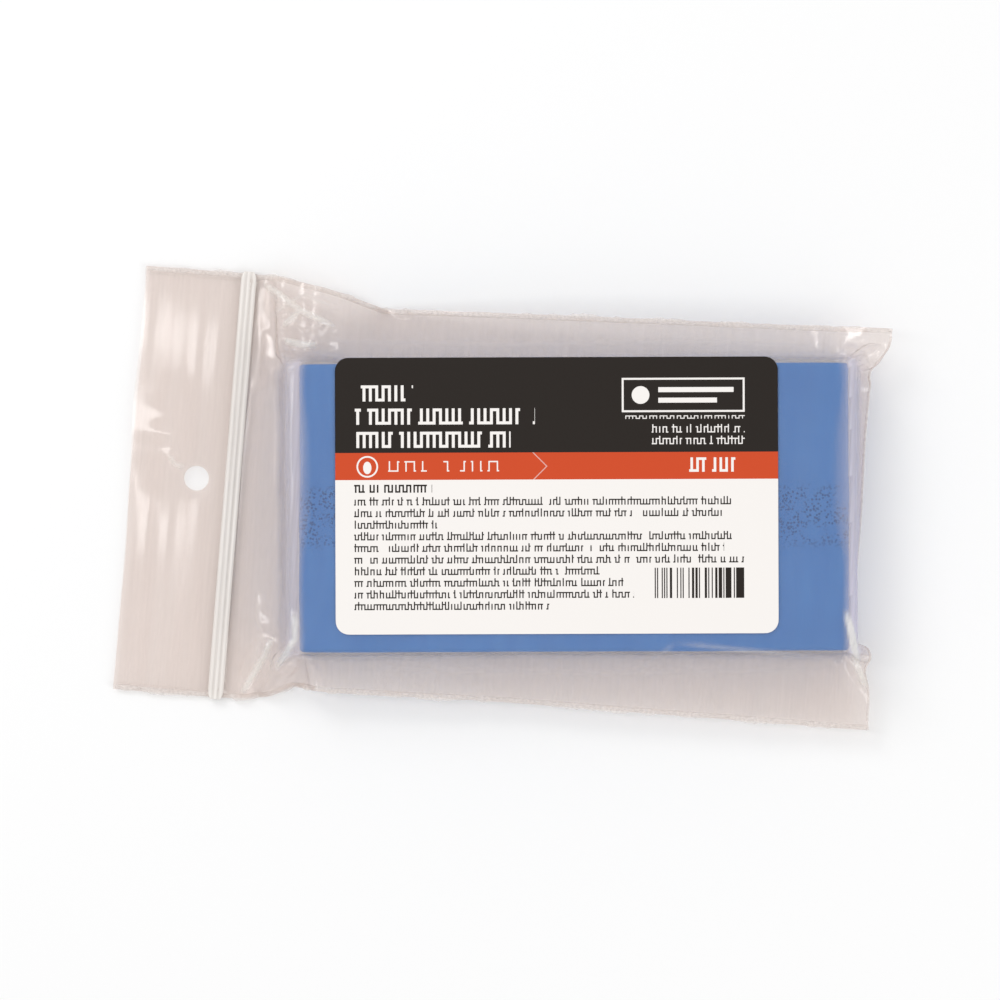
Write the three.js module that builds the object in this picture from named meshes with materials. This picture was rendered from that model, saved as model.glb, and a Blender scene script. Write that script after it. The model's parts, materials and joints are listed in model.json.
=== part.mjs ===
// A bar of car detailing clay in its clear grip-seal bag, with a printed label stuck on the front.
// Millimetres, +Z up. The pack lies on its rear film: z = 0 is the surface it lies on.
// +X runs along the bag from its mouth to its closed end, +Y runs across it, and the
// origin is under the middle of the bag's outline.
import * as THREE from "three";
import { mergeVertices } from "three/addons/utils/BufferGeometryUtils.js";

// ---- Driving dimensions ---------------------------------------------------------------------

const film = 0.2; // stand-in thickness of the 0.05 mm film
const touch = 0.05; // gap between flat pieces that touch
const weldGap = 0.3; // gap between a film's edge and the weld bead beside it

const mouthX = -68.7; // the open edge of both lips
const zipX = -50.0; // centre of the press-to-close profile
const foldX = 67.6; // where both films reach the folded end

const bar = { length: 100, width: 52.6, height: 10.9, x: 12.2, y: 1.0, yaw: 4.8, edge: 0.8 };
const barLift = 0.1; // between the rear film and the bar on it
const barClear = 0.4; // between the bar and the film over it
const barPlay = { mouth: 2.9, fold: 1.6, side: 1.5 }; // slack of the film past the bar

const label = { length: 80, width: 50, thick: 0.15, corner: 2.4, x: 8.9, y: 2.9 };

const rib = { width: 1.0, height: 0.95 }; // the tongue on the rear film
const groove = { inner: 1.4, wall: 0.7, height: 1.05, web: 0.15 }; // the rails on the front film
const zipInset = 0.7; // the profiles stop short of the weld beads
const zipMargin = 0.3; // flat film left beside the profile

const weld = { width: 0.6, height: 1.6 };
const fold = { gap: 0.3, width: 1.1, bevel: 0.4, nose: 0.6 };
const hangHole = { radius: 2.25, x: -56.6, y: 0.8, sides: 24 };

// ---- Levels ---------------------------------------------------------------------------------

const rearTop = film;
const barBottom = rearTop + barLift;
const roof = barBottom + bar.height + barClear; // underside of the front film over the bar
const rim = 1.4; // underside of the front film at its edges and at the lip
const zipReach = groove.inner / 2 + groove.wall + zipMargin;
const lipX = zipX - zipReach; // the lips run from the mouth to here

// The bag's outline, as Y at stations along X. It is 77.2 mm wide where it lies flat, at the
// mouth and the zip: 76.2 mm (3 inches) between the welds' middles, and half a weld on each
// side. It is drawn in where the film climbs over the bar.
const upperSide = [
  [mouthX, 38.6],
  [-45, 38.6],
  [-35, 37.1],
  [-25, 34.2],
  [0, 35.3],
  [foldX + 1, 38.0],
];
const lowerSide = [
  [mouthX, -38.6],
  [-45, -38.6],
  [-40, -37.6],
  [-36, -35.6],
  [-29, -36.1],
  [0, -35.3],
  [foldX + 1, -35.1],
];

// ---- Helpers --------------------------------------------------------------------------------

const vec = ([x, y]) => new THREE.Vector2(x, y);

// A side line of the bag moved inwards, towards the middle of its width.
function inset(side, distance) {
  return side.map(([x, y]) => [x, y - Math.sign(y) * distance]);
}

function sideAt(side, x) {
  const next = Math.max(1, side.findIndex(([stationX]) => stationX >= x));
  const [[x0, y0], [x1, y1]] = [side[next - 1], side[next]];
  return y0 + ((y1 - y0) * (x - x0)) / (x1 - x0);
}

// The stretch of a side line between two places along the bag.
function stretch(side, from, to) {
  const between = side.filter(([x]) => x > from && x < to);
  return [[from, sideAt(side, from)], ...between, [to, sideAt(side, to)]];
}

// The film's outline between two places along the bag, counterclockwise.
function filmOutline(from, to) {
  return [...stretch(lowerEdge, from, to), ...stretch(upperEdge, from, to).reverse()];
}

function circle(centreX, centreY, radius, sides) {
  const turn = (i) => (2 * Math.PI * i) / sides;
  return Array.from({ length: sides }, (_, i) => [
    centreX + radius * Math.cos(turn(i)),
    centreY + radius * Math.sin(turn(i)),
  ]);
}

function roundedRectangle(length, width, radius) {
  const [x, y, r] = [length / 2, width / 2, radius];
  const shape = new THREE.Shape();
  shape.absarc(x - r, y - r, r, 0, Math.PI / 2);
  shape.absarc(-x + r, y - r, r, Math.PI / 2, Math.PI);
  shape.absarc(-x + r, -y + r, r, Math.PI, 1.5 * Math.PI);
  shape.absarc(x - r, -y + r, r, 1.5 * Math.PI, 2 * Math.PI);
  return shape;
}

function slab(points, holes, bottom, thickness) {
  const shape = new THREE.Shape(points.map(vec));
  shape.holes = holes.map((hole) => new THREE.Path(hole.map(vec)));
  const geometry = new THREE.ExtrudeGeometry(shape, { depth: thickness, bevelEnabled: false });
  return geometry.translate(0, 0, bottom);
}

// A closed sheet of film whose underside passes through the given points: flat regions are
// triangulated in plan, and the rim of the whole is closed by walls.
function sheet(regions, thickness) {
  const surface = [];
  for (const { outer, inner = [] } of regions) {
    const holes = inner.length ? [inner.map(vec)] : [];
    const points = [...outer, ...inner];
    const faces = THREE.ShapeUtils.triangulateShape(outer.map(vec), holes);
    faces.forEach((face) => surface.push(face.map((i) => points[i])));
  }
  const key = ([x, y]) => `${x.toFixed(4)},${y.toFixed(4)}`;
  const edges = new Set();
  surface.forEach(([a, b, c]) =>
    [[a, b], [b, c], [c, a]].forEach(([p, q]) => edges.add(`${key(p)}>${key(q)}`)),
  );
  const raised = ([x, y, z]) => [x, y, z + thickness];
  const triangles = [];
  for (const [a, b, c] of surface) {
    triangles.push(raised(a), raised(b), raised(c), a, c, b);
    for (const [p, q] of [[a, b], [b, c], [c, a]]) {
      if (edges.has(`${key(q)}>${key(p)}`)) continue;
      triangles.push(p, q, raised(q), p, raised(q), raised(p));
    }
  }
  const geometry = new THREE.BufferGeometry();
  geometry.setAttribute("position", new THREE.Float32BufferAttribute(triangles.flat(), 3));
  return mergeVertices(geometry);
}

// A bar of constant section along Y: the section is given in X and Z.
function alongY(section, from, to) {
  const shape = new THREE.Shape(section.map(([x, z]) => new THREE.Vector2(x, -z)));
  const geometry = new THREE.ExtrudeGeometry(shape, { depth: to - from, bevelEnabled: false });
  return geometry.rotateX(-Math.PI / 2).translate(0, from, 0);
}

const box = (x0, x1, z0, z1) => [
  [x0, z0],
  [x1, z0],
  [x1, z1],
  [x0, z1],
];

// A point given on the bar's own axes, turned and moved into the bag.
function onBar([along, across]) {
  const yaw = THREE.MathUtils.degToRad(bar.yaw);
  return [
    bar.x + along * Math.cos(yaw) - across * Math.sin(yaw),
    bar.y + along * Math.sin(yaw) + across * Math.cos(yaw),
  ];
}

const upperEdge = inset(upperSide, weld.width + weldGap);
const lowerEdge = inset(lowerSide, weld.width + weldGap);

// ---- Materials ------------------------------------------------------------------------------

const plastic = (color, roughness) =>
  new THREE.MeshStandardMaterial({ color, roughness, metalness: 0 });
const clay = plastic(0x4f83c4, 0.6);
const clearFilm = plastic(0xdccfc8, 0.25);
clearFilm.transparent = true;
clearFilm.opacity = 0.45;
const profile = plastic(0xe8e2da, 0.3);
const bead = plastic(0xe2d8d0, 0.35);
const paper = plastic(0xf8f4f2, 0.55);

// ---- Pieces ---------------------------------------------------------------------------------

function piece(name, geometry, material) {
  const mesh = new THREE.Mesh(geometry, material);
  mesh.name = name;
  return mesh;
}

function clayBar() {
  const { length, width, height, edge } = bar;
  const shape = roundedRectangle(length - 2 * edge, width - 2 * edge, edge);
  const geometry = new THREE.ExtrudeGeometry(shape, {
    depth: height - 2 * edge,
    bevelThickness: edge,
    bevelSize: edge,
    bevelSegments: 2,
    curveSegments: 3,
  });
  const mesh = piece("clay_bar", geometry, clay);
  mesh.position.set(bar.x, bar.y, barBottom + edge);
  mesh.rotation.z = THREE.MathUtils.degToRad(bar.yaw);
  return mesh;
}

function frontFilm() {
  const [halfLength, halfWidth] = [bar.length / 2, bar.width / 2 + barPlay.side];
  const roofCorners = [
    [-halfLength - barPlay.mouth, -halfWidth],
    [halfLength + barPlay.fold, -halfWidth],
    [halfLength + barPlay.fold, halfWidth],
    [-halfLength - barPlay.mouth, halfWidth],
  ].map((corner) => [...onBar(corner), roof]);
  const edge = filmOutline(lipX, foldX - fold.gap).map(([x, y]) => [x, y, rim]);
  const zipLine = zipX + zipReach;
  const pocket = filmOutline(zipLine, foldX - fold.gap).map(([x, y]) => [x, y, rim]);
  const strip = edge.filter(([x]) => x < zipLine);
  const [low, high] = [pocket[0], pocket[pocket.length - 1]];
  const zipStrip = [strip[0], low, high, ...strip.slice(1)];
  return piece(
    "front_film",
    sheet([{ outer: pocket, inner: roofCorners }, { outer: roofCorners }, { outer: zipStrip }], film),
    clearFilm,
  );
}

function lip(name, bottom) {
  const hole = circle(hangHole.x, hangHole.y, hangHole.radius, hangHole.sides);
  const edge = filmOutline(mouthX, lipX - touch);
  return piece(name, slab(edge, [hole], bottom, film), clearFilm);
}

function rearFilm() {
  const edge = filmOutline(lipX, foldX);
  return piece("rear_film", slab(edge, [], 0, film), clearFilm);
}

function zipSpan() {
  const from = sideAt(lowerEdge, zipX) + zipInset;
  const to = sideAt(upperEdge, zipX) - zipInset;
  return [from, to];
}

function zipRib() {
  const half = rib.width / 2;
  const section = box(zipX - half, zipX + half, rearTop + touch, rearTop + rib.height);
  return piece("zip_rib", alongY(section, ...zipSpan()), profile);
}

// Two rails joined by a thin web against the front film.
function zipGroove() {
  const [inner, outer] = [groove.inner / 2, groove.inner / 2 + groove.wall];
  const [low, web, high] = [rim - groove.height, rim - touch - groove.web, rim - touch];
  const section = [
    [zipX - outer, low],
    [zipX - inner, low],
    [zipX - inner, web],
    [zipX + inner, web],
    [zipX + inner, low],
    [zipX + outer, low],
    [zipX + outer, high],
    [zipX - outer, high],
  ];
  return piece("zip_groove", alongY(section, ...zipSpan()), profile);
}

// A bead that follows one side of the bag from the mouth to the fold.
function sideWeld(name, side) {
  const outer = stretch(side, mouthX, foldX);
  const inner = inset(outer, weld.width);
  const loop = name.endsWith("upper") ? [...inner, ...outer.reverse()] : [...outer, ...inner.reverse()];
  return piece(name, slab(loop, [], 0, weld.height), bead);
}

function bottomFold() {
  const [x0, x1] = [foldX + touch, foldX + fold.width];
  const [top, middle] = [rim + film, (rim + film) / 2];
  const section = [
    [x0, 0],
    [x1 - fold.bevel, 0],
    [x1, middle - fold.nose / 2],
    [x1, middle + fold.nose / 2],
    [x1 - fold.bevel, top],
    [x0, top],
  ];
  const [from, to] = [sideAt(lowerEdge, foldX), sideAt(upperEdge, foldX)];
  return piece("bottom_fold", alongY(section, from, to), clearFilm);
}

function frontLabel() {
  const geometry = new THREE.ExtrudeGeometry(
    roundedRectangle(label.length, label.width, label.corner),
    { depth: label.thick, bevelEnabled: false, curveSegments: 5 },
  );
  const mesh = piece("label", geometry, paper);
  mesh.position.set(label.x, label.y, roof + film + touch);
  mesh.rotation.z = THREE.MathUtils.degToRad(bar.yaw);
  return mesh;
}

// ---- Assembly: the rear of the bag, the front of the bag, and the bar between them -----------

const rearPanel = new THREE.Group();
rearPanel.add(
  rearFilm(),
  lip("rear_lip", 0),
  zipRib(),
  sideWeld("side_weld_upper", upperSide),
  sideWeld("side_weld_lower", lowerSide),
  bottomFold(),
);

const frontPanel = new THREE.Group();
frontPanel.add(frontFilm(), lip("front_lip", rim), zipGroove(), frontLabel());

const pack = new THREE.Group();
pack.add(rearPanel, frontPanel, clayBar());

export default pack;
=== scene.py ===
"""A bar of car detailing clay in its clear grip-seal bag, with a printed label on the front.

The work is done in millimetres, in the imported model's own frame, and turned to metres as each
mesh is made. The bag's film is settled over the bar as two inextensible sheets that share their
side welds and their folded end; everything else is placed on that film or on the bar.
"""

import json
import math

import bmesh
import bpy
import numpy as np
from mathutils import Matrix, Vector
from mathutils.bvhtree import BVHTree


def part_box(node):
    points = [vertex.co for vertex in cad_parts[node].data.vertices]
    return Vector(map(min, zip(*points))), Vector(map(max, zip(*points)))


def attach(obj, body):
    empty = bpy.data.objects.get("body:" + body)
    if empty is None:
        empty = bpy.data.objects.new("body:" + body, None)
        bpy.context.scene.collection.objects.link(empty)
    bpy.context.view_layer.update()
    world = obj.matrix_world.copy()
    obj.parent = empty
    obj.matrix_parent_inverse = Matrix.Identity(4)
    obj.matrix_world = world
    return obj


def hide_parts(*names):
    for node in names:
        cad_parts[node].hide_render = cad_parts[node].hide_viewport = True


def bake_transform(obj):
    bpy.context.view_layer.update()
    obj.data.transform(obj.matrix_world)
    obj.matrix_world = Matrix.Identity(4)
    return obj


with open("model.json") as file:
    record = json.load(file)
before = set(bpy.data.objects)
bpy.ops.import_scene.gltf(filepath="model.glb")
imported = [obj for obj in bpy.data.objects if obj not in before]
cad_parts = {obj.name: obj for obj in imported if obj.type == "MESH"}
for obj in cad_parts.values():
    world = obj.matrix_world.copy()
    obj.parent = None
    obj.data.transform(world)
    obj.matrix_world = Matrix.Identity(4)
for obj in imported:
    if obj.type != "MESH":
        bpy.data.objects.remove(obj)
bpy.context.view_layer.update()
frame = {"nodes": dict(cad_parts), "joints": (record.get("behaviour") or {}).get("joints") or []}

MM = 0.001
UP = (0.0, 0.0, 1.0)
BACK, FRONT, BAR = "bag_back", "bag_front", "bar"

# ---- Sizes, in millimetres ------------------------------------------------------------------


def node_box(node):
    """Lowest and highest corner of a CAD node, in millimetres."""
    return [np.array(list(corner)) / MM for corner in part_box(node)]


YAW = math.radians(4.8)  # the bar lies turned in its bag, and the label follows it
COS, SIN = math.cos(YAW), math.sin(YAW)

bar_low, bar_high = node_box("clay_bar")
BAR_MIDDLE = (bar_low + bar_high) / 2
BAR_BOTTOM = bar_low[2]
bar_span = bar_high - bar_low
BAR_LENGTH = (bar_span[0] * COS - bar_span[1] * SIN) / math.cos(2 * YAW)
BAR_WIDTH = (bar_span[1] * COS - bar_span[0] * SIN) / math.cos(2 * YAW)
BAR_HEIGHT = bar_span[2]
BAR_HALF = np.array([BAR_LENGTH, BAR_WIDTH, BAR_HEIGHT]) / 2
SLIDE = next(j for j in frame["joints"] if j["name"] == "bar_slide")["range_m"]

label_low, label_high = node_box("label")
LABEL_MIDDLE = (label_low + label_high) / 2
LABEL_LENGTH, LABEL_WIDTH, LABEL_CORNER, LABEL_THICK = 80.0, 50.0, 2.4, 0.12
LABEL_LIFT = 0.04  # of glue, over the film
LABEL_SMOOTHING = 60  # passes that let it bridge the film's small wrinkles

zip_low, zip_high = node_box("zip_groove")
ZIP_X = (zip_low[0] + zip_high[0]) / 2

ZIP_HALF = 1.5  # half the width of the zip's two strips
RIDGE_PITCH = 0.93  # of the fine ridges along the zip
BAG_WIDTH = 77.2  # a 3 inch bag with its side welds, laid flat
LIP = 18.7  # from the mouth to the zip
POCKET = 121.3  # from the zip to the fold, laid flat
FILM = 0.06  # its drawn thickness
HANG_HOLE = (-56.6, 0.8, 2.25)  # x, y and radius


def cad_edge(node, side):
    """Outer line of a side weld in the CAD model, as x and y, from the mouth to the fold."""
    co = np.array([v.co for v in frame["nodes"][node].data.vertices]) / MM
    xs = np.unique(np.round(co[:, 0], 2))
    ys = [co[np.abs(co[:, 0] - x) < 0.02, 1] for x in xs]
    return xs, np.array([y.max() if side > 0 else y.min() for y in ys])


UPPER_EDGE = cad_edge("side_weld_upper", 1)
LOWER_EDGE = cad_edge("side_weld_lower", -1)


# ---- Helpers --------------------------------------------------------------------------------


def lattice_noise(x, y, pitch, seed):
    """Smooth noise from -1 to 1 over the plane, with features about one pitch across."""
    table = np.random.default_rng(seed).uniform(-1, 1, (64, 64))
    u, v = np.asarray(x) / pitch + 1000, np.asarray(y) / pitch + 1000
    i, j = np.floor(u).astype(int), np.floor(v).astype(int)
    f, g = u - i, v - j
    f, g = f * f * (3 - 2 * f), g * g * (3 - 2 * g)
    at = lambda a, b: table[a % 64, b % 64]
    low = at(i, j) * (1 - f) + at(i + 1, j) * f
    high = at(i, j + 1) * (1 - f) + at(i + 1, j + 1) * f
    return low * (1 - g) + high * g


def grid(u, v):
    return np.meshgrid(u, v, indexing="ij")


def grid_quads(rows, columns):
    """Faces of a grid of rows by columns points, as the points' places in it."""
    i, j = np.indices((rows - 1, columns - 1)).reshape(2, -1)
    at = lambda a, b: a * columns + b
    return np.stack([at(i, j), at(i + 1, j), at(i + 1, j + 1), at(i, j + 1)], 1)


def closed_skin(quads, total):
    """Faces of a sheet, of its copy total points further on, and of the walls around both."""
    edges = np.concatenate([quads[:, [k, (k + 1) % 4]] for k in range(4)])
    codes = edges[:, 0] * total + edges[:, 1]
    border = edges[~np.isin(codes, edges[:, 1] * total + edges[:, 0])]
    walls = np.stack([border[:, 1], border[:, 0], border[:, 0] + total, border[:, 1] + total], 1)
    return np.concatenate([quads, quads[:, ::-1] + total, walls]).tolist()


def new_piece(name, vertices, faces, material):
    """A mesh object from points in millimetres."""
    mesh = bpy.data.meshes.new(name)
    mesh.from_pydata(np.asarray(vertices, float).reshape(-1, 3) * MM, [], faces)
    mesh.validate()
    piece = bpy.data.objects.new(name, mesh)
    bpy.context.scene.collection.objects.link(piece)
    mesh.materials.append(material)
    return piece


def smooth_solid(piece, angle=35):
    """Turns a closed mesh's faces outwards, and shades it smooth but for its sharp edges."""
    mesh = piece.data
    work = bmesh.new()
    work.from_mesh(mesh)
    bmesh.ops.recalc_face_normals(work, faces=work.faces)
    work.to_mesh(mesh)
    work.free()
    mesh.shade_smooth()
    mesh.set_sharp_from_angle(angle=math.radians(angle))
    return piece


def sweep(name, centres, across, up, sections, material):
    """A closed solid along a line: at each station, a section of (across, up) offsets."""
    across, up = (np.broadcast_to(np.asarray(v, float), centres.shape) for v in (across, up))
    sections = np.broadcast_to(sections, (len(centres), *np.shape(sections)[-2:]))
    points = (
        centres[:, None]
        + across[:, None] * sections[..., :1]
        + up[:, None] * sections[..., 1:]
    )
    stations, sides = points.shape[:2]
    at = lambda i, k: i * sides + k % sides
    faces = [
        (at(i, k), at(i, k + 1), at(i + 1, k + 1), at(i + 1, k))
        for i in range(stations - 1)
        for k in range(sides)
    ]
    faces.append(tuple(range(sides)))
    faces.append(tuple((stations - 1) * sides + k for k in range(sides)))
    return smooth_solid(new_piece(name, points, faces, material))


def in_block(x, y, middle):
    """Places along and across the turned bar or label."""
    dx, dy = x - middle[0], y - middle[1]
    return COS * dx + SIN * dy, COS * dy - SIN * dx


def in_bag(u, v, middle):
    """The x and y of places along and across the turned bar or label."""
    return middle[0] + COS * u - SIN * v, middle[1] + SIN * u + COS * v


def box_distance(P, middle, half, radius):
    """Distance from points to the bar's rounded block, turned with it."""
    local = (*in_block(P[0], P[1], middle), P[2] - middle[2])
    q = np.stack([np.abs(v) - h + radius for v, h in zip(local, half)])
    return np.linalg.norm(np.maximum(q, 0), axis=0) + np.minimum(q.max(0), 0) - radius


# ---- Film: two sheets settled over the bar --------------------------------------------------

F32 = np.float32
BEND_GRID = ((4.0, 500, 0.15), (2.0, 400, 0.1), (1.0, 400, 0.04))  # pitch, steps, stiffness
PASSES = 3  # over all constraints in a step
SHEAR_STIFFNESS = 0.6
GROWING = 0.6  # share of the steps in which the bar grows to its height
GRAVITY, DAMPING, FASTEST = 0.0005, 0.92, 0.3  # mm a step, share kept, mm a step
SEAM_PULL = 0.1
LABEL_PRESS = 0.2
FOLD_CORNERS = ((0, 69.7), (-1, 67.2))  # grid column and x of the bag's two closed corners
CLING = 0.02  # how fast two films that nearly touch draw together
CLING_REACH = 3.0
CLEAR = 0.08  # film to bar
END_ROOM = 0.25  # more at both ends of the bar's slide
SIDE_ROOM = 0.1  # more beside the bar, which slides a little sideways since it lies turned
EDGE_ROUND = 0.9  # radius of the bar's edges


def hold(P, a, b, rest, stiffness):
    """Moves pairs of points towards their rest distance."""
    A, B = P[a], P[b]
    d = B - A
    length = np.sqrt(np.einsum("cij,cij->ij", d, d)) + F32(1e-6)
    d *= (F32(0.5 * stiffness) * (length - F32(rest)) / length)[None]
    A += d
    B -= d


def film_constraints(nu, nv, hu, hv, bend):
    """Stretch, shear and bend pairs of a grid, in sets that share no point."""
    every = slice(None)
    diagonal = math.hypot(hu, hv)
    sets = []
    for s in (0, 1):
        n, m = (nu - s) // 2, (nv - s) // 2
        low, high = slice(s, s + 2 * n, 2), slice(s + 1, s + 2 * n, 2)
        left, right = slice(s, s + 2 * m, 2), slice(s + 1, s + 2 * m, 2)
        sets.append(((every, low), (every, high), hu, 1.0))
        sets.append(((every, every, left), (every, every, right), hv, 1.0))
        for a, b in ((slice(0, -1), slice(1, None)), (slice(1, None), slice(0, -1))):
            sets.append(((every, low, a), (every, high, b), diagonal, SHEAR_STIFFNESS))
    for s in range(4):
        n, m = (nu + 1 - s) // 4, (nv + 1 - s) // 4
        low, high = slice(s, s + 4 * n, 4), slice(s + 2, s + 2 + 4 * n, 4)
        left, right = slice(s, s + 4 * m, 4), slice(s + 2, s + 2 + 4 * m, 4)
        sets.append(((every, low), (every, high), 2 * hu, bend))
        sets.append(((every, every, left), (every, every, right), 2 * hv, bend))
    return sets


def join_sheets(front, rear):
    """The side welds and the fold belong to both sheets."""
    every = slice(None)
    for shared in ((every, every, 0), (every, every, -1), (every, -1)):
        mean = (front[shared] + rear[shared]) / 2
        front[shared] = mean
        rear[shared] = mean


def keep_off_bar(P, height, above):
    """Pushes a sheet out of the bar, with the room that the bar slides in."""
    x, y, z = P
    mouthwards, foldwards = -SLIDE[0] / MM + END_ROOM, SLIDE[1] / MM + END_ROOM
    upwards, downwards = SIN * mouthwards + SIDE_ROOM, SIN * SLIDE[1] / MM + SIDE_ROOM
    a, b = in_block(x, y, F32(BAR_MIDDLE))
    a = a - (foldwards - mouthwards) / 2
    b = b - (upwards - downwards) / 2
    e = z - (BAR_BOTTOM + height / 2)
    radius = min(EDGE_ROUND, height / 2)
    half = (
        (BAR_LENGTH + mouthwards + foldwards) / 2 - radius,
        (BAR_WIDTH + upwards + downwards) / 2 - radius,
        height / 2 - radius,
    )
    reach = radius + CLEAR
    q = [np.abs(v) - h for v, h in zip((a, b, e), half)]
    i = np.nonzero((q[0] < reach) & (q[1] < reach) & (q[2] < reach))
    sign = [np.sign(v[i]) for v in (a, b, e)]
    q = np.stack([v[i] for v in q])
    if q.size:
        out = np.maximum(q, 0)
        norm = np.sqrt((out * out).sum(0))
        deep = norm < 1e-5
        largest = np.argmax(q, 0)
        push = np.where(deep, reach - q.max(0), np.maximum(reach - norm, 0))
        n = [
            np.where(deep, largest == k, out[k] / np.maximum(norm, 1e-5)) * sign[k] * push
            for k in range(3)
        ]
        x[i] += (COS * n[0] - SIN * n[1]).astype(F32)
        y[i] += (SIN * n[0] + COS * n[1]).astype(F32)
        z[i] += n[2].astype(F32)
    over = (np.abs(a) < half[0]) & (np.abs(b) < half[1])
    if above:
        z[over] = np.maximum(z[over], BAR_BOTTOM + height + CLEAR)
    else:
        z[over] = np.minimum(z[over], BAR_BOTTOM - CLEAR)


def press_label(front, height):
    """The label's stiffness keeps the film under it flat on the bar."""
    u, v = in_block(front[0], front[1], LABEL_MIDDLE)
    under = (np.abs(u) < LABEL_LENGTH / 2) & (np.abs(v) < LABEL_WIDTH / 2 - 1)
    top = BAR_BOTTOM + height + CLEAR
    front[2] -= F32(LABEL_PRESS) * under * np.maximum(front[2] - F32(top), 0)


def settle(front, rear, hu, hv, steps, heights, bend):
    """Lets both sheets come to rest while the bar between them grows to its height."""
    sets = film_constraints(front.shape[1], front.shape[2], hu, hv, bend)
    speeds = [np.zeros_like(front), np.zeros_like(rear)]
    pinned = 1 + int(ZIP_HALF / hu)
    zip_rows = front[:, :pinned].copy(), rear[:, :pinned].copy()
    for step in range(steps):
        height = float(np.interp(step / steps, (0, GROWING), heights))
        cling = CLING if height == heights[1] else 0.0
        before = front.copy(), rear.copy()
        for P, speed in zip((front, rear), speeds):
            P += speed
            P[2] -= F32(GRAVITY)
        for _ in range(PASSES):
            for P in (front, rear):
                for a, b, rest, stiffness in sets:
                    hold(P, a, b, rest, stiffness)
                join_sheets(front, rear)
            for j, (xs, ys) in ((0, LOWER_EDGE), (-1, UPPER_EDGE)):
                y = front[1, :, j]
                y += F32(SEAM_PULL) * (np.interp(front[0, :, j], xs, ys).astype(F32) - y)
                rear[1, :, j] = y
            for j, x in FOLD_CORNERS:
                front[0, -1, j] += F32(SEAM_PULL * (x - front[0, -1, j]))
                rear[0, -1, j] = front[0, -1, j]
            press_label(front, height)
            gap = front[2] - rear[2]
            stick = F32(cling) * gap * (gap < CLING_REACH)
            front[2] -= stick
            rear[2] += stick
            crossed = front[2] - rear[2] < 2 * FILM
            crossed[:, 0] = crossed[:, -1] = crossed[-1] = False
            middle = (front[2] + rear[2]) / 2
            front[2] = np.where(crossed, middle + F32(FILM), front[2])
            rear[2] = np.where(crossed, middle - F32(FILM), rear[2])
            keep_off_bar(front, height, True)
            keep_off_bar(rear, height, False)
            np.maximum(front[2], FILM, out=front[2])
            np.maximum(rear[2], FILM, out=rear[2])
            front[:, :pinned], rear[:, :pinned] = zip_rows
        for speed, P, old in zip(speeds, (front, rear), before):
            np.subtract(P, old, out=speed)
            size = np.sqrt(np.einsum("cij,cij->ij", speed, speed))
            speed *= F32(DAMPING) * np.minimum(1, F32(FASTEST) / np.maximum(size, F32(1e-6)))


def resample(P, nu, nv):
    """A grid of other counts through the same points, by cubic curves."""
    for axis, n in ((1, nu), (2, nv)):
        P = np.moveaxis(P, axis, 0)
        last = len(P) - 1
        t = np.linspace(0, last, n)
        i = np.minimum(t.astype(int), last - 1)
        f = (t - i)[:, None, None]
        a, b, c, d = (P[np.clip(i + k, 0, last)] for k in (-1, 0, 1, 2))
        P = b + 0.5 * f * (c - a + f * (2 * a - 5 * b + 4 * c - d + f * (3 * (b - c) + d - a)))
        P = np.moveaxis(P, 0, axis)
    return np.ascontiguousarray(P.astype(F32))


ZIP_FRONT_Z, ZIP_REAR_Z = 1.35, 0.12
ZIP_END = BAG_WIDTH / 2 + 0.4  # the zip's crushed ends stand a little proud of the welds


def drape_pocket():
    """Front and rear film from the zip to the fold, as grids of points along and across."""
    front = rear = None
    levels = BEND_GRID
    for pitch, steps, bend in levels:
        nu, nv = round(POCKET / pitch) + 1, 2 * round(BAG_WIDTH / pitch / 2) + 1
        if front is None:
            u, v = grid(np.linspace(0, POCKET, nu), np.linspace(-BAG_WIDTH / 2, BAG_WIDTH / 2, nv))
            inner = (1 - (2 * v / BAG_WIDTH) ** 8) * (1 - (u / POCKET) ** 16)
            uneven = 0.05 * np.random.default_rng(7).standard_normal(u.shape)
            front = np.stack([ZIP_X + u, v, 0.4 + inner * (0.9 + uneven)]).astype(F32)
            rear = np.stack([ZIP_X + u, v, 0.1 + 0 * u]).astype(F32)
            heights = (0.3, BAR_HEIGHT)
        else:
            front, rear = resample(front, nu, nv), resample(rear, nu, nv)
            heights = (BAR_HEIGHT, BAR_HEIGHT)
        join_sheets(front, rear)
        for P, z in ((front, ZIP_FRONT_Z), (rear, ZIP_REAR_Z)):
            rows = np.arange(1 + int(ZIP_HALF / (POCKET / (nu - 1))))
            P[0, rows] = ZIP_X + rows[:, None] * POCKET / (nu - 1)
            P[1, rows] = np.linspace(-BAG_WIDTH / 2, BAG_WIDTH / 2, nv)
            P[2, rows] = z
            P[2, rows, 0] = P[2, rows, -1] = (ZIP_FRONT_Z + ZIP_REAR_Z) / 2
        settle(front, rear, POCKET / (nu - 1), BAG_WIDTH / (nv - 1), steps, heights, bend)
    return front, rear


# ---- Film: lips, creases and the hang hole --------------------------------------------------

FINE = 0.5  # pitch of the finished film
MOUTH_WAVER = 0.45  # of the lips' cut edges, to and fro
LIP_SWELL = 0.15  # share by which the lips' height varies
DRAW_LINES = 0.03  # height of the fine lines that the film was drawn with

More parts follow.
